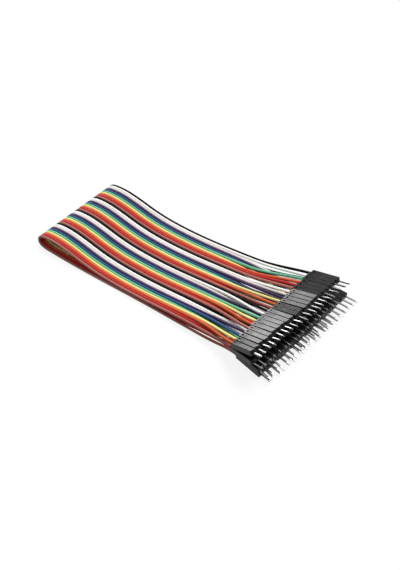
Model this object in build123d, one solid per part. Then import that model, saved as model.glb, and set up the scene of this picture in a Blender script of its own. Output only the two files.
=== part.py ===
from build123d import *
from math import cos, radians, sin, tan
import os

# A ribbon of forty jumper wires, male pin to male pin, folded once and laid down.
# Millimetres. X runs from the fold towards the pins, Y across the ribbon, Z up. The
# origin is under the middle of the whole part, on the surface that it lies on.

# ---- driving dimensions -------------------------------------------------------------
COLOURS = ("black", "white", "grey", "purple", "blue", "green", "yellow", "orange", "red", "brown")
COLOUR_REPEATS = 4
WIRE_DIAMETER = 1.25
WIRE_SIDES = 8
WIRE_CORNER_EXCESS = 0.04
RIBBON_PITCH = 1.27

HOUSING_LENGTH = 14.0
HOUSING_WIDTH = 2.5
CAVITY_WIDTH = 1.9
CAVITY_DEPTH = 11.2
PIN_HOLE_CLEARANCE = 0.05
WINDOW_START = 1.0
WINDOW_LENGTH = 1.1
WINDOW_WIDTH = 1.0
TONGUE_LENGTH = 3.6
SLOT_WIDTH = 0.08

PIN_WIDTH = 0.64
PIN_REACH = 6.0
PIN_TIP_LENGTH = 1.1
PIN_TIP_WIDTH = 0.3
PIN_BEND_START = 0.4
# How far the pins are bent sideways and upwards, in degrees, housing after housing.
PIN_BENDS = ((0.0, 0.0), (2.5, -1.5), (-3.0, 1.0), (1.0, 2.5), (-1.5, -2.5), (3.5, 1.0), (-2.5, 2.0))
CONTACT_CLEARANCE = 0.08
CONTACT_WALL = 0.2
CRIMP_START = 0.9
CRIMP_LENGTH = 4.2
CRIMP_TO_BOX = 1.3
CRIMP_HEIGHT_SHARE = 0.8
CRIMP_SIDE_CLEARANCE = 0.04
CRIMP_FLOOR_CLEARANCE = 0.02

# ---- how the ribbon lies ------------------------------------------------------------
# Here x is measured from the fold, and y from the middle of the flat ribbon.
FOLD_TO_ORIGIN = 69.73
RIBBON_TO_ORIGIN = -0.28
# The fold, from the upper layer round to the lower one: x, how far the ribbon is shifted
# sideways there, and z.
UPPER_LAYER = (
    (61.0, 0.0, 2.15),
    (42.0, 0.0, 1.99),
    (30.0, 0.0, 3.4),
    (20.0, 0.0, 5.85),
    (10.3, 0.0, 7.4),
    (0.2, 0.0, 6.35),
)
LOWER_LAYER = ((0.2, -0.5, 0.66), (12.0, -0.9, 0.65), (35.0, -0.9, 0.66), (62.0, 0.0, 0.65))
# Where each wire leaves its lane on the way to its housing: x, z and the share of the
# way across from its lane to its housing.
UPPER_END_PEEL = {
    "top": ((84.0, 4.5, 0.0), (96.5, 5.9, 0.07)),
    "under": ((84.0, 4.05, 0.0), (96.5, 4.4, 0.07)),
}
LOWER_END_PEEL = {
    "top": ((86.0, 0.78, 0.0), (99.0, 2.05, 0.04)),
    "under": ((87.0, 0.66, 0.0), (101.5, 0.72, 0.04)),
}
STRAIGHT_EXIT = 3.0

# Each row of housings: the wires that end in it, back to front, in the groups that lie
# together; the middle of its wire ends; how many housings lie under it and how far it is
# raised above them; how much further out the row is for each millimetre towards the
# back; the gaps between two housings of a group and between two groups. The headings and
# the nose-up tilts are in degrees, at the back, middle and front of the row.
ROWS = {
    "upper_end_top_row": dict(
        groups=(
            (0, 1, 5), (7, 8, 9), (11, 12, 13, 16), (17, 19), (20, 21),
            (25, 26, 27), (29, 33), (34,), (36, 37),
        ),
        x=116.0,
        y=0.65,
        housings_under=3,
        raised=0.68,
        slant=0.045,
        gap=0.05,
        group_gap=0.21,
        headings=(-2.2, -9.0, -17.2),
        tilts=(15.3, 22.0, 26.2),
    ),
    "upper_end_under_row": dict(
        groups=((2, 3), (4, 6, 10), (14,), (15, 18), (22, 23, 24), (28, 30), (31,), (32, 35), (38, 39)),
        x=114.8,
        y=-3.0,
        housings_under=2,
        raised=0.25,
        slant=0.045,
        gap=0.12,
        group_gap=0.4,
        headings=(-2.7, -9.0, -16.2),
        tilts=(8.0, 10.0, 13.0),
    ),
    "lower_end_top_row": dict(
        groups=(
            (0, 2, 4), (5, 6), (9, 10, 12, 14), (15,), (17, 18, 21),
            (23, 24), (27, 29, 30), (32, 33), (35, 38),
        ),
        x=117.6,
        y=2.6,
        housings_under=1,
        raised=0.11,
        slant=0.075,
        gap=0.1,
        group_gap=0.26,
        headings=(-0.8, -8.0, -11.6),
        tilts=(0.0, 0.0, 0.0),
    ),
    "lower_end_under_row": dict(
        groups=((1, 3), (7,), (8, 11, 13), (16, 19), (20, 22), (25,), (26, 28, 31), (34, 36), (37, 39)),
        x=117.1,
        y=0.0,
        housings_under=0,
        raised=0.01,
        slant=0.06,
        gap=0.23,
        group_gap=0.55,
        headings=(-1.8, -8.0, -11.6),
        tilts=(0.0, 0.0, 0.0),
    ),
}
# Small hand-laid unevenness, as a share of each row's amounts below: how far a housing is
# slid along its pin on its own and with its group, how far a group is raised, and how
# many degrees it is turned, tilted and rolled.
SCATTER = (0.1, 0.8, -0.5, 0.3, -0.9, 0.6, 1.0, -0.3, -0.7, 0.4, -1.0)
UNEVENNESS = {
    "upper_end_top_row": dict(slide=0.28, group_slide=0.42, lift=0.08, heading=0.4, tilt=0.7, roll=2.2),
    "upper_end_under_row": dict(slide=0.2, group_slide=0.25, lift=0.0, heading=0.4, tilt=0.3, roll=1.6),
    "lower_end_top_row": dict(slide=0.2, group_slide=0.25, lift=0.0, heading=0.3, tilt=0.0, roll=0.6),
    "lower_end_under_row": dict(slide=0.2, group_slide=0.25, lift=0.0, heading=0.3, tilt=0.0, roll=0.0),
}

# ---- worked-out sizes ---------------------------------------------------------------
WIRE_COUNT = len(COLOURS) * COLOUR_REPEATS
WIRE_RADIUS = WIRE_DIAMETER / 2
CONTACT_WIDTH = CAVITY_WIDTH - 2 * CONTACT_CLEARANCE
BOX_START = CRIMP_START + CRIMP_LENGTH + CRIMP_TO_BOX
# The wire ends against the back of the contact's box, which ends against the shoulder
# at the bottom of the housing's cavity.
BOX_END = CAVITY_DEPTH
CRIMP_FLOOR = -WIRE_RADIUS - CRIMP_FLOOR_CLEARANCE


def scatter(number, step):
    """One share of the hand-laid unevenness, different for each number and use."""
    return SCATTER[(number * step + step) % len(SCATTER)]


def from_origin(x, y, z):
    """A point of the part from its place along the ribbon, across it and above the surface."""
    return Vector(x - FOLD_TO_ORIGIN, y - RIBBON_TO_ORIGIN, z)


def lane(wire):
    """Y of one wire in the flat ribbon; wire 0 is at the back edge."""
    return ((WIRE_COUNT - 1) / 2 - wire) * RIBBON_PITCH


def along_row(values, share):
    """A row's value at a share of the way to its front, from those at its back, middle
    and front."""
    back, middle, front = values
    if share < 0.5:
        return back + (middle - back) * share * 2
    return middle + (front - middle) * (share * 2 - 1)


def row_places(name, seed):
    """The planes of one row of housings, by wire: origin at the middle of the wire end, X
    out along the pin, Z up."""
    row = ROWS[name]
    uneven = UNEVENNESS[name]
    wires = [wire for group in row["groups"] for wire in group]
    numbers = [number for number, group in enumerate(row["groups"]) for _ in group]
    middles = [numbers.index(number) + (numbers.count(number) - 1) / 2 for number in numbers]
    shares = [middle / (len(wires) - 1) for middle in middles]
    headings = [
        along_row(row["headings"], share) + uneven["heading"] * scatter(number, 3 + seed)
        for number, share in zip(numbers, shares)
    ]
    across = [0]
    for column in range(1, len(wires)):
        mean = radians((headings[column - 1] + headings[column]) / 2)
        gap = row["gap"] if numbers[column - 1] == numbers[column] else row["group_gap"]
        sideways = cos(mean) - row["slant"] * sin(mean)
        across.append(across[-1] - (HOUSING_WIDTH + gap) / sideways)
    height = (row["housings_under"] + 0.5) * HOUSING_WIDTH + row["raised"]
    places = {}
    for column, wire in enumerate(wires):
        number = numbers[column]
        from_middle = across[column] - across[-1] / 2
        heading = radians(headings[column])
        more_tilt = uneven["tilt"] * scatter(number, 2 + seed)
        tilt = radians(along_row(row["tilts"], shares[column]) + more_tilt)
        forward = Vector(cos(heading) * cos(tilt), sin(heading) * cos(tilt), sin(tilt))
        level_up = Vector(-cos(heading) * sin(tilt), -sin(heading) * sin(tilt), cos(tilt))
        up = level_up.rotate(Axis((0, 0, 0), forward), uneven["roll"] * scatter(number, 7 + seed))
        slide = uneven["slide"] * scatter(column, 5 + seed)
        slide += uneven["group_slide"] * scatter(number, 4 + seed)
        lift = uneven["lift"] * scatter(number, 6 + seed)
        point = from_origin(row["x"] + row["slant"] * from_middle, row["y"] + from_middle, height + lift)
        places[wire] = Plane(origin=point + forward * slide, x_dir=forward, z_dir=up)
    return places


PLACES = {name: row_places(name, seed) for seed, name in enumerate(ROWS)}


def make_housing():
    """A single-way crimp housing: a square moulded sleeve with a stepped bore, and a
    springy tongue cut in its top face behind a small window."""
    size = HOUSING_WIDTH
    body = Pos(HOUSING_LENGTH / 2, 0, 0) * Box(HOUSING_LENGTH, size, size)
    cavity = Pos(CAVITY_DEPTH / 2, 0, 0) * Box(CAVITY_DEPTH, CAVITY_WIDTH, CAVITY_WIDTH)
    hole_width = PIN_WIDTH + 2 * PIN_HOLE_CLEARANCE
    pin_hole = Pos(HOUSING_LENGTH / 2, 0, 0) * Box(HOUSING_LENGTH, hole_width, hole_width)
    roof = (size - CAVITY_WIDTH) / 2
    roof_middle = (size + CAVITY_WIDTH) / 4
    window_middle = WINDOW_START + WINDOW_LENGTH / 2
    window = Pos(window_middle, 0, roof_middle) * Box(WINDOW_LENGTH, WINDOW_WIDTH, roof * 2)
    tongue_middle = WINDOW_START + (WINDOW_LENGTH + TONGUE_LENGTH) / 2
    slots = [
        Pos(tongue_middle, side * (WINDOW_WIDTH - SLOT_WIDTH) / 2, roof_middle)
        * Box(WINDOW_LENGTH + TONGUE_LENGTH, SLOT_WIDTH, roof * 2)
        for side in (-1, 1)
    ]
    return body - cavity - pin_hole - window - slots


def make_pin(bend):
    """The square pin outside the housing, with its tapered tip, bent a little where it
    comes out."""
    sideways, upwards = bend
    length = PIN_REACH - PIN_BEND_START
    shank_length = length - PIN_TIP_LENGTH
    shank_middle = (shank_length - PIN_WIDTH / 2) / 2
    shank = Pos(shank_middle, 0, 0) * Box(shank_length + PIN_WIDTH / 2, PIN_WIDTH, PIN_WIDTH)
    tip = loft([
        Plane.YZ.offset(shank_length) * Rectangle(PIN_WIDTH, PIN_WIDTH),
        Plane.YZ.offset(length) * Rectangle(PIN_TIP_WIDTH, PIN_TIP_WIDTH),
    ])
    return Pos(HOUSING_LENGTH + PIN_BEND_START, 0, 0) * Rot(0, -upwards, sideways) * (shank + tip)


def make_contact(bend):
    """A male crimp contact, folded from one strip: open crimp channel, box section and
    square pin."""
    wall = CONTACT_WALL
    channel_width = WIRE_DIAMETER + 2 * CRIMP_SIDE_CLEARANCE
    channel_height = WIRE_DIAMETER * CRIMP_HEIGHT_SHARE
    crimp_middle = CRIMP_START + CRIMP_LENGTH / 2
    floor_length = BOX_START - CRIMP_START
    floor = Pos(CRIMP_START + floor_length / 2, 0, CRIMP_FLOOR - wall / 2) * Box(
        floor_length, channel_width + 2 * wall, wall
    )
    wings = [
        Pos(crimp_middle, side * (channel_width + wall) / 2, CRIMP_FLOOR + channel_height / 2)
        * Box(CRIMP_LENGTH, wall, channel_height)
        for side in (-1, 1)
    ]
    box = Pos((BOX_START + BOX_END) / 2, 0, 0) * Box(BOX_END - BOX_START, CONTACT_WIDTH, CONTACT_WIDTH)
    bend_at = HOUSING_LENGTH + PIN_BEND_START
    shank = Pos((BOX_END + bend_at) / 2, 0, 0) * Box(bend_at - BOX_END, PIN_WIDTH, PIN_WIDTH)
    return floor + wings + box + shank + make_pin(bend)


def end_points(place, peel, y_lane):
    """The route of one wire from its lane to its crimp, lane first."""
    exit_point = place.from_local_coords((-STRAIGHT_EXIT, 0, 0))
    points = []
    for x, z, share in peel:
        point = from_origin(x, y_lane, z)
        points.append(point + Vector(0, share * (exit_point.Y - point.Y), 0))
    return points + [exit_point, place.from_local_coords((BOX_START, 0, 0))]


def seat(wire, end):
    """The plane of a wire's housing at one end, and which of its two rows it is in."""
    level = "top" if wire in PLACES[f"{end}_end_top_row"] else "under"
    return PLACES[f"{end}_end_{level}_row"][wire], level


def route(wire):
    """All the corner points of one wire, from the upper end round to the lower one."""
    y = lane(wire)
    upper_place, upper_level = seat(wire, "upper")
    lower_place, lower_level = seat(wire, "lower")
    upper = end_points(upper_place, UPPER_END_PEEL[upper_level], y)
    lower = end_points(lower_place, LOWER_END_PEEL[lower_level], y)
    middle = [from_origin(x, y + shift, z) for x, shift, z in UPPER_LAYER + LOWER_LAYER]
    return upper[::-1] + middle + lower


def corner_radii(points):
    """The largest arc that each corner's two runs allow."""
    radii = []
    for before, corner, after in zip(points, points[1:], points[2:]):
        run_in = corner - before
        run_out = after - corner
        half_turn = radians(run_in.get_angle(run_out)) / 2
        radii.append(0.45 * min(run_in.length, run_out.length) / tan(half_turn))
    return radii


def make_wire(wire):
    """One insulated wire: a tube along straight runs joined by tangent arcs, eight-sided
    with flats against its neighbours and against the other layer."""
    points = route(wire)
    radii = corner_radii(points)
    path = FilletPolyline(*points, radius=radii)
    tangent = path % 0
    start = Plane(origin=path @ 0, x_dir=Vector(0, 0, 1).cross(tangent), z_dir=tangent)
    corner_radius = WIRE_RADIUS + WIRE_CORNER_EXCESS / 2
    section = RegularPolygon(corner_radius, WIRE_SIDES, rotation=180 / WIRE_SIDES)
    tube = sweep(start * section, path=path)
    share = tube.volume / (section.area * path.length)
    print(
        f"wire {wire + 1:2d}: length {path.length:6.1f}, smallest radius {min(radii):4.2f}, "
        f"volume / (section x length) {share:.4f}"
    )
    return tube


def write(name, solids):
    whole = Compound(label=name, children=solids) if len(solids) > 1 else solids[0]
    export_step(whole, f"parts/{name}.step")


def main():
    os.makedirs("parts", exist_ok=True)
    for wire in range(WIRE_COUNT):
        colour = COLOURS[wire % len(COLOURS)]
        write(f"wire_{wire + 1:02d}_{colour}", [make_wire(wire).solid()])
    housing = make_housing().solid()
    contacts = [make_contact(bend).solid() for bend in PIN_BENDS]
    for name, places in PLACES.items():
        write(f"housings_{name}", [place.location * housing for place in places.values()])
        chosen = [contacts[column % len(contacts)] for column in range(len(places))]
        pairs = zip(places.values(), chosen)
        write(f"contacts_{name}", [place.location * contact for place, contact in pairs])


main()
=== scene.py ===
"""A ribbon of forty jumper wires, folded once and laid on a white floor."""

import math

import bmesh
import bpy
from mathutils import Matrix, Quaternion, Vector


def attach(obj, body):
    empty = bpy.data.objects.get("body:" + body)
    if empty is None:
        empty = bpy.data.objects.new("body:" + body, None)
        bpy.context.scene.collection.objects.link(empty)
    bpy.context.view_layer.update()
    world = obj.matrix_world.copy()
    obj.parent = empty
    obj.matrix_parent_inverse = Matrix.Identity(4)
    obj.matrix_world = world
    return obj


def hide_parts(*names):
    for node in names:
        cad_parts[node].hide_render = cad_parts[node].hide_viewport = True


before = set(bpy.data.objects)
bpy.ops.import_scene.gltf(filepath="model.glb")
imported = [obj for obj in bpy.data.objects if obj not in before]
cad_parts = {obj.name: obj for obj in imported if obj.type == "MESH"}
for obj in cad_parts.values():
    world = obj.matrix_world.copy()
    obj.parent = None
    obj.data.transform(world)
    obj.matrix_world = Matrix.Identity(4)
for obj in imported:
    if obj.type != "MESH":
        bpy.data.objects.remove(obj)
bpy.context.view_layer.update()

MM = 0.001

# ---- the ribbon's route, in millimetres, as the part's source has it ------------------
COLOURS = ("black", "white", "grey", "purple", "blue", "green", "yellow", "orange", "red", "brown")
COLOUR_REPEATS = 4
WIRE_DIAMETER = 1.25
RIBBON_PITCH = 1.27
HOUSING_WIDTH = 2.5
CRIMP_END = 6.4

FOLD_TO_ORIGIN = 69.73
RIBBON_TO_ORIGIN = -0.28
UPPER_LAYER = (
    (61.0, 0.0, 2.15),
    (42.0, 0.0, 1.99),
    (30.0, 0.0, 3.4),
    (20.0, 0.0, 5.85),
    (10.3, 0.0, 7.4),
    (0.2, 0.0, 6.35),
)
LOWER_LAYER = ((0.2, -0.5, 0.66), (12.0, -0.9, 0.65), (35.0, -0.9, 0.66), (62.0, 0.0, 0.65))
UPPER_END_PEEL = {
    "top": ((84.0, 4.5, 0.0), (96.5, 5.9, 0.07)),
    "under": ((84.0, 4.05, 0.0), (96.5, 4.4, 0.07)),
}
LOWER_END_PEEL = {
    "top": ((86.0, 0.78, 0.0), (99.0, 2.05, 0.04)),
    "under": ((87.0, 0.66, 0.0), (101.5, 0.72, 0.04)),
}
STRAIGHT_EXIT = 3.0
ROWS = {
    "upper_end_top_row": dict(
        groups=(
            (0, 1, 5), (7, 8, 9), (11, 12, 13, 16), (17, 19), (20, 21),
            (25, 26, 27), (29, 33), (34,), (36, 37),
        ),
        x=116.0,
        y=0.65,
        housings_under=3,
        raised=0.68,
        slant=0.045,
        gap=0.05,
        group_gap=0.21,
        headings=(-2.2, -9.0, -17.2),
        tilts=(15.3, 22.0, 26.2),
    ),
    "upper_end_under_row": dict(
        groups=((2, 3), (4, 6, 10), (14,), (15, 18), (22, 23, 24), (28, 30), (31,), (32, 35), (38, 39)),
        x=114.8,
        y=-3.0,
        housings_under=2,
        raised=0.25,
        slant=0.045,
        gap=0.12,
        group_gap=0.4,
        headings=(-2.7, -9.0, -16.2),
        tilts=(8.0, 10.0, 13.0),
    ),
    "lower_end_top_row": dict(
        groups=(
            (0, 2, 4), (5, 6), (9, 10, 12, 14), (15,), (17, 18, 21),
            (23, 24), (27, 29, 30), (32, 33), (35, 38),
        ),
        x=117.6,
        y=2.6,
        housings_under=1,
        raised=0.11,
        slant=0.075,
        gap=0.1,
        group_gap=0.26,
        headings=(-0.8, -8.0, -11.6),
        tilts=(0.0, 0.0, 0.0),
    ),
    "lower_end_under_row": dict(
        groups=((1, 3), (7,), (8, 11, 13), (16, 19), (20, 22), (25,), (26, 28, 31), (34, 36), (37, 39)),
        x=117.1,
        y=0.0,
        housings_under=0,
        raised=0.01,
        slant=0.06,
        gap=0.23,
        group_gap=0.55,
        headings=(-1.8, -8.0, -11.6),
        tilts=(0.0, 0.0, 0.0),
    ),
}
# How unevenly the housings are laid: fixed shares of each row's largest shift, in mm and
# degrees, read from the list with a step of its own for each kind of shift.
SCATTER = (0.1, 0.8, -0.5, 0.3, -0.9, 0.6, 1.0, -0.3, -0.7, 0.4, -1.0)
STEPS = dict(tilt=2, heading=3, group_slide=4, slide=5, lift=6, roll=7)
UNEVENNESS = {
    "upper_end_top_row": dict(slide=0.28, group_slide=0.42, lift=0.08, heading=0.4, tilt=0.7, roll=2.2),
    "upper_end_under_row": dict(slide=0.2, group_slide=0.25, lift=0.0, heading=0.4, tilt=0.3, roll=1.6),
    "lower_end_top_row": dict(slide=0.2, group_slide=0.25, lift=0.0, heading=0.3, tilt=0.0, roll=0.6),
    "lower_end_under_row": dict(slide=0.2, group_slide=0.25, lift=0.0, heading=0.3, tilt=0.0, roll=0.0),
}

WIRE_COUNT = len(COLOURS) * COLOUR_REPEATS


def scatter(number, kind, seed):
    """A share from -1 to 1, the same on each run, for one kind of shift."""
    step = STEPS[kind] + seed
    return SCATTER[(number * step + step) % len(SCATTER)]


def from_origin(x, y, z):
    """A point measured from the fold and the floor, in the frame's own axes."""
    return Vector((x - FOLD_TO_ORIGIN, y - RIBBON_TO_ORIGIN, z))


def lane(wire):
    """How far to the side a wire lies in the flat ribbon."""
    return ((WIRE_COUNT - 1) / 2 - wire) * RIBBON_PITCH


class Place:
    """Where one housing lies: the middle of its wire end, and which way its pin points."""

    def __init__(self, origin, forward, up):
        self.origin = origin
        self.forward = forward
        self.up = up

    def along(self, distance):
        return self.origin + self.forward * distance


def along_row(values, share):
    """A value between a row's back, middle and front ones."""
    back, middle, front = values
    if share < 0.5:
        return back + (middle - back) * share * 2
    return middle + (front - middle) * (share * 2 - 1)


def row_places(name, seed):
    """Where each wire's housing lies in one row, from the back edge to the front one."""
    row = ROWS[name]
    uneven = UNEVENNESS[name]
    wires = [wire for group in row["groups"] for wire in group]
    numbers = [number for number, group in enumerate(row["groups"]) for _ in group]
    middles = [numbers.index(number) + (numbers.count(number) - 1) / 2 for number in numbers]
    shares = [middle / (len(wires) - 1) for middle in middles]
    headings = [
        along_row(row["headings"], share) + uneven["heading"] * scatter(number, "heading", seed)
        for number, share in zip(numbers, shares)
    ]
    across = [0]
    for column in range(1, len(wires)):
        mean = math.radians((headings[column - 1] + headings[column]) / 2)
        gap = row["gap"] if numbers[column - 1] == numbers[column] else row["group_gap"]
        sideways = math.cos(mean) - row["slant"] * math.sin(mean)
        across.append(across[-1] - (HOUSING_WIDTH + gap) / sideways)
    height = (row["housings_under"] + 0.5) * HOUSING_WIDTH + row["raised"]
    places = {}
    for column, wire in enumerate(wires):
        number = numbers[column]
        from_middle = across[column] - across[-1] / 2
        heading = math.radians(headings[column])
        more_tilt = uneven["tilt"] * scatter(number, "tilt", seed)
        tilt = math.radians(along_row(row["tilts"], shares[column]) + more_tilt)
        forward = Vector(
            (math.cos(heading) * math.cos(tilt), math.sin(heading) * math.cos(tilt), math.sin(tilt))
        )
        up = Vector(
            (-math.cos(heading) * math.sin(tilt), -math.sin(heading) * math.sin(tilt), math.cos(tilt))
        )
        roll = Quaternion(forward, math.radians(uneven["roll"] * scatter(number, "roll", seed)))
        slide = uneven["slide"] * scatter(column, "slide", seed)
        slide += uneven["group_slide"] * scatter(number, "group_slide", seed)
        lift = uneven["lift"] * scatter(number, "lift", seed)
        x = row["x"] + row["slant"] * from_middle
        point = from_origin(x, row["y"] + from_middle, height + lift)
        places[wire] = Place(point + forward * slide, forward, roll @ up)
    return places


PLACES = {name: row_places(name, seed) for seed, name in enumerate(ROWS)}


def end_points(place, peel, y_lane):
    """A wire's route from its lane into its housing, as far as the end of its crimp."""
    exit_point = place.along(-STRAIGHT_EXIT)
    points = []
    for x, z, share in peel:
        point = from_origin(x, y_lane, z)
        point.y += share * (exit_point.y - point.y)
        points.append(point)
    return points + [exit_point, place.along(CRIMP_END)]


def seat(wire, end):
    """The place of a wire's housing at one end, and the row that it is in."""
    level = "top" if wire in PLACES[f"{end}_end_top_row"] else "under"
    return PLACES[f"{end}_end_{level}_row"][wire], level


def route(wire):
    """The points of a wire's route, from its upper crimp over the fold to its lower one."""
    y = lane(wire)
    upper_place, upper_level = seat(wire, "upper")
    lower_place, lower_level = seat(wire, "lower")
    upper = end_points(upper_place, UPPER_END_PEEL[upper_level], y)
    lower = end_points(lower_place, LOWER_END_PEEL[lower_level], y)
    middle = [from_origin(x, y + shift, z) for x, shift, z in UPPER_LAYER + LOWER_LAYER]
    return upper[::-1] + middle + lower


# ---- materials ------------------------------------------------------------------------
NOISE_RANGE = (0.3, 0.7)


class Nodes:
    """A material's node tree, with short calls for the nodes that the materials share."""

    def __init__(self, name):
        self.material = bpy.data.materials.new(name)
        self.material.use_nodes = True
        self.tree = self.material.node_tree
        self.shader = self.tree.nodes["Principled BSDF"]

    def add(self, kind, **values):
        node = self.tree.nodes.new(kind)
        for key, value in values.items():
            if key in node.inputs:
                node.inputs[key].default_value = value
            else:
                setattr(node, key, value)
        return node

    def link(self, source, target):
        self.tree.links.new(source, target)

    def set(self, name, source):
        """Link a source to a socket of the shader."""
        self.link(source, self.shader.inputs[name])

    def fix(self, name, value):
        """Set a socket of the shader to one value all over."""
        self.shader.inputs[name].default_value = value

    def position(self, scale=(1, 1, 1)):
        """Where a point lies in the piece, drawn out along the axes with a small scale."""
        place = self.add("ShaderNodeTexCoord")
        mapping = self.add("ShaderNodeMapping")
        mapping.inputs["Scale"].default_value = scale
        self.link(place.outputs["Object"], mapping.inputs["Vector"])
        return mapping.outputs["Vector"]

    def noise(self, vector, scale, detail=3.0, roughness=0.5):
        node = self.add("ShaderNodeTexNoise", Scale=scale, Detail=detail, Roughness=roughness)
        self.link(vector, node.inputs["Vector"])
        return node.outputs["Fac"]

    def ramp(self, factor, low, high):
        """A number between low and high, over the range that a noise mostly fills."""
        node = self.add("ShaderNodeMapRange")
        node.inputs["From Min"].default_value = NOISE_RANGE[0]
        node.inputs["From Max"].default_value = NOISE_RANGE[1]
        node.inputs["To Min"].default_value = low
        node.inputs["To Max"].default_value = high
        self.link(factor, node.inputs["Value"])
        return node.outputs["Result"]

    def mix(self, factor, first, second):
        node = self.add("ShaderNodeMix", data_type="RGBA")
        node.inputs["A"].default_value = (*first, 1)
        node.inputs["B"].default_value = (*second, 1)
        self.link(factor, node.inputs["Factor"])
        return node.outputs["Result"]

    def bump(self, height, strength, distance):
        node = self.add("ShaderNodeBump", Strength=strength, Distance=distance)
        self.link(height, node.inputs["Height"])
        self.set("Normal", node.outputs["Normal"])


INSULATION = {
    "black": (0.004, 0.004, 0.004),
    "white": (0.9, 0.89, 0.86),
    "grey": (0.72, 0.65, 0.63),
    "purple": (0.042, 0.017, 0.068),
    "blue": (0.026, 0.075, 0.21),
    "green": (0.14, 0.47, 0.28),
    "yellow": (0.78, 0.72, 0.26),
    "orange": (0.62, 0.11, 0.032),
    "red": (0.5, 0.021, 0.018),
    "brown": (0.41, 0.14, 0.115),
}
INSULATION_SPECULAR = 0.14
BLACK_SPECULAR = 0.04  # the carbon-filled skin is duller than the dyed ones


def insulation(name, colour):
    """Extruded PVC: a satin skin, faintly uneven along its length."""
    nodes = Nodes(f"{name}_insulation")
    drift = nodes.noise(nodes.position((0.25, 1, 1)), scale=260)
    darker = tuple(channel * 0.86 for channel in colour)
    lighter = tuple(min(1, channel * 1.08 + 0.004) for channel in colour)
    nodes.set("Base Color", nodes.mix(drift, darker, lighter))
    fine = nodes.noise(nodes.position(), scale=2400, detail=2)
    nodes.set("Roughness", nodes.ramp(fine, low=0.5, high=0.62))
    nodes.fix("Specular IOR Level", BLACK_SPECULAR if name == "black" else INSULATION_SPECULAR)
    nodes.bump(drift, strength=0.06, distance=0.12 * MM)
    return nodes.material


def housing_plastic():
    """Black moulded nylon, with the fine grain of the mould and a gloss that varies along it."""
    nodes = Nodes("black_moulded_nylon")
    cloud = nodes.noise(nodes.position(), scale=420)
    nodes.set("Base Color", nodes.mix(cloud, (0.006, 0.006, 0.006), (0.011, 0.011, 0.011)))
    flow = nodes.noise(nodes.position((0.1, 1, 1)), scale=1100)
    nodes.set("Roughness", nodes.ramp(flow, low=0.14, high=0.22))
    nodes.fix("Specular IOR Level", 0.15)
    grain = nodes.noise(nodes.position(), scale=3800, detail=4)
    nodes.bump(grain, strength=0.05, distance=0.03 * MM)
    return nodes.material


def tinned_metal():
    """Tin plate over brass, rolled and slightly dull."""
    nodes = Nodes("tin_plate")
    streak = nodes.noise(nodes.position((0.2, 1, 1)), scale=2600)
    nodes.set("Base Color", nodes.mix(streak, (0.18, 0.175, 0.17), (0.42, 0.41, 0.4)))
    nodes.set("Roughness", nodes.ramp(streak, low=0.18, high=0.3))
    nodes.fix("Metallic", 1)
    nodes.bump(streak, strength=0.1, distance=0.02 * MM)
    return nodes.material


FLOOR_TINT = 0.12  # enough for the shadow to show
FLOOR_GLOW = 0.86  # with what the tint gives back, just white


def seen_directly(tree, otherwise, strength):
    """A strength for what the camera sees, plain or in a gloss, and another for the light
    that is given off."""
    ray = tree.nodes.new("ShaderNodeLightPath")
    seen = ray.outputs["Is Camera Ray"]
    for name in ("Is Glossy Ray", "Is Transmission Ray"):
        either = tree.nodes.new("ShaderNodeMath")
        either.operation = "MAXIMUM"
        tree.links.new(seen, either.inputs[0])
        tree.links.new(ray.outputs[name], either.inputs[1])
        seen = either.outputs["Value"]
    choice = tree.nodes.new("ShaderNodeMapRange")
    choice.inputs["To Min"].default_value = otherwise
    choice.inputs["To Max"].default_value = strength
    tree.links.new(seen, choice.inputs["Value"])
    return choice.outputs["Result"]


def white_floor():
    """A white board that keeps the object's shadow and is plain white to the camera."""
    nodes = Nodes("white_floor")
    nodes.fix("Base Color", (FLOOR_TINT, FLOOR_TINT, FLOOR_TINT, 1))
    nodes.fix("Roughness", 0.9)
    nodes.fix("Specular IOR Level", 0.0)
    nodes.fix("Emission Color", (1, 1, 1, 1))
    nodes.set("Emission Strength", seen_directly(nodes.tree, 0, FLOOR_GLOW))
    return nodes.material


# ---- pieces ---------------------------------------------------------------------------
def link_object(name, data):
    piece = bpy.data.objects.new(name, data)
    bpy.context.scene.collection.objects.link(piece)
    return piece


def make_wire(wire, materials):
    """One wire: a smooth round curve along its route, from its upper crimp to its lower one."""
    colour = COLOURS[wire % len(COLOURS)]
    node = f"wire_{wire + 1:02d}_{colour}"
    points = [point * MM for point in route(wire)]
    curve = bpy.data.curves.new(f"{node}_insulated", "CURVE")
    curve.dimensions = "3D"
    curve.bevel_depth = WIRE_DIAMETER / 2 * MM
    curve.bevel_resolution = 4
    curve.resolution_u = 9
    curve.use_fill_caps = True
    spline = curve.splines.new("NURBS")
    spline.points.add(len(points) - 1)
    for control, point in zip(spline.points, points):
        control.co = (*point, 1)
    spline.order_u = 3
    spline.use_endpoint_u = True
    spline.use_smooth = True
    curve.materials.append(materials[colour])
    piece = link_object(f"{node}_insulated", curve)
    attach(piece, "root")
    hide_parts(node)
    return piece


def spline_length(piece):
    """The length of the curve itself, read from its line with no thickness."""
    bare = piece.data.copy()
    bare.bevel_depth = 0
    bare.use_fill_caps = False
    line = bpy.data.objects.new("line", bare)
    mesh = bpy.data.meshes.new_from_object(line)
    points = [vertex.co for vertex in mesh.vertices]
    length = sum((b - a).length for a, b in zip(points, points[1:]))
    bpy.data.objects.remove(line)
    bpy.data.curves.remove(bare)
    bpy.data.meshes.remove(mesh)
    return length


def declare_cord(piece):
    spline_length(piece)


WELD = 0.001 * MM
FLAT = math.radians(1)
SHARP = math.radians(40)


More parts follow.
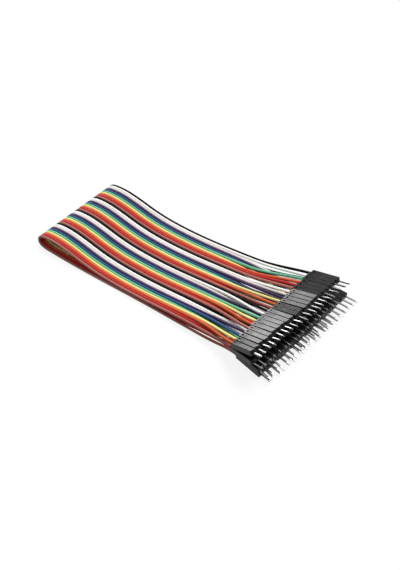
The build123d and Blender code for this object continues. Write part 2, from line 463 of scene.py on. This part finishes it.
def soften(node, suffix, edge, shortest, material):
    """The CAD node's own form with its longer outer edges moulded or rolled round."""
    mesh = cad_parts[node].data.copy()
    mesh.name = f"{node}_{suffix}"
    mesh.materials.clear()
    mesh.materials.append(material)
    form = bmesh.new()
    form.from_mesh(mesh)
    bmesh.ops.remove_doubles(form, verts=form.verts, dist=WELD)
    bmesh.ops.dissolve_limit(form, angle_limit=FLAT, verts=form.verts, edges=form.edges)
    weight = form.edges.layers.float.new("bevel_weight_edge")
    for side in form.edges:
        outer = side.is_manifold and side.is_convex and side.calc_face_angle() > SHARP
        if outer and side.calc_length() > shortest * MM:
            side[weight] = 1
    form.to_mesh(mesh)
    form.free()
    piece = link_object(mesh.name, mesh)
    bevel = piece.modifiers.new("edges", "BEVEL")
    bevel.width = edge * MM
    bevel.segments = 3
    bevel.limit_method = "WEIGHT"
    bevel.use_clamp_overlap = False
    bevel.harden_normals = True
    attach(piece, "root")
    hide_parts(node)
    return piece


def make_floor():
    """A round board under the part, which isn't a piece of it."""
    mesh = bpy.data.meshes.new("floor")
    form = bmesh.new()
    bmesh.ops.create_circle(form, cap_ends=True, segments=64, radius=3)
    form.to_mesh(mesh)
    form.free()
    mesh.materials.append(white_floor())
    link_object("floor", mesh)


# ---- light and camera -----------------------------------------------------------------
CAMERA_VIEW = (38, 43.5)
CAMERA_TARGET = Vector((10.07, -4.02, 5.0)) * MM
CAMERA_DISTANCE = 0.4
CAMERA_LENS = 57.1

WORLD_LIGHT = 0.5
KEY_VIEW = (175, 66)
KEY_STRENGTH = 2.7
KEY_SPREAD = math.radians(25)
SHEEN_VIEW = (229, 8)
SHEEN_TARGET = Vector((0.04, 0, 0))
SHEEN_DISTANCE = 0.9
SHEEN_POWER = 3.3
SHEEN_SIZE = (0.8, 0.16)


def direction(azimuth, elevation):
    """A unit vector from the part towards a viewpoint. Azimuth 0 looks along +Y."""
    a = math.radians(azimuth)
    e = math.radians(elevation)
    return Vector((math.sin(a) * math.cos(e), -math.cos(a) * math.cos(e), math.sin(e)))


def aim(piece, target, back, distance):
    piece.location = target + back * distance
    piece.rotation_mode = "QUATERNION"
    piece.rotation_quaternion = (-back).to_track_quat("-Z", "Y")


def make_camera():
    data = bpy.data.cameras.new("camera")
    data.lens = CAMERA_LENS
    data.clip_end = 10
    camera = link_object("camera", data)
    aim(camera, CAMERA_TARGET, direction(*CAMERA_VIEW), CAMERA_DISTANCE)
    bpy.context.scene.camera = camera


def make_light():
    """Even light from all round, a broad key lamp behind the part, and a low strip whose
    reflection shows in the tops of the housings."""
    world = bpy.data.worlds.new("studio")
    bpy.context.scene.world = world
    world.use_nodes = True
    background = world.node_tree.nodes["Background"]
    background.inputs["Color"].default_value = (1, 1, 1, 1)
    strength = seen_directly(world.node_tree, WORLD_LIGHT, 1)
    world.node_tree.links.new(strength, background.inputs["Strength"])
    key = bpy.data.lights.new("key", "SUN")
    key.energy = KEY_STRENGTH
    key.angle = KEY_SPREAD
    aim(link_object("key", key), Vector((0, 0, 0)), direction(*KEY_VIEW), 1)
    sheen = bpy.data.lights.new("sheen", "AREA")
    sheen.shape = "RECTANGLE"
    sheen.size, sheen.size_y = SHEEN_SIZE
    sheen.energy = SHEEN_POWER
    aim(link_object("sheen", sheen), SHEEN_TARGET, direction(*SHEEN_VIEW), SHEEN_DISTANCE)


# ---- the scene ------------------------------------------------------------------------
HOUSING_EDGE = 0.16
CONTACT_EDGE = 0.08
SHORTEST_HOUSING_EDGE = 2.2
SHORTEST_CONTACT_EDGE = 3.0

insulations = {name: insulation(name, colour) for name, colour in INSULATION.items()}
nylon = housing_plastic()
tin = tinned_metal()
wires = [make_wire(wire, insulations) for wire in range(WIRE_COUNT)]
for row_name in ROWS:
    housings = f"housings_{row_name}"
    contacts = f"contacts_{row_name}"
    soften(
        housings, "moulded", HOUSING_EDGE, SHORTEST_HOUSING_EDGE, nylon
    )
    soften(
        contacts, "plated", CONTACT_EDGE, SHORTEST_CONTACT_EDGE, tin
    )
for wire, piece in enumerate(wires):
    declare_cord(piece)
make_floor()
make_camera()
make_light()

bpy.context.scene.view_settings.view_transform = "Standard"
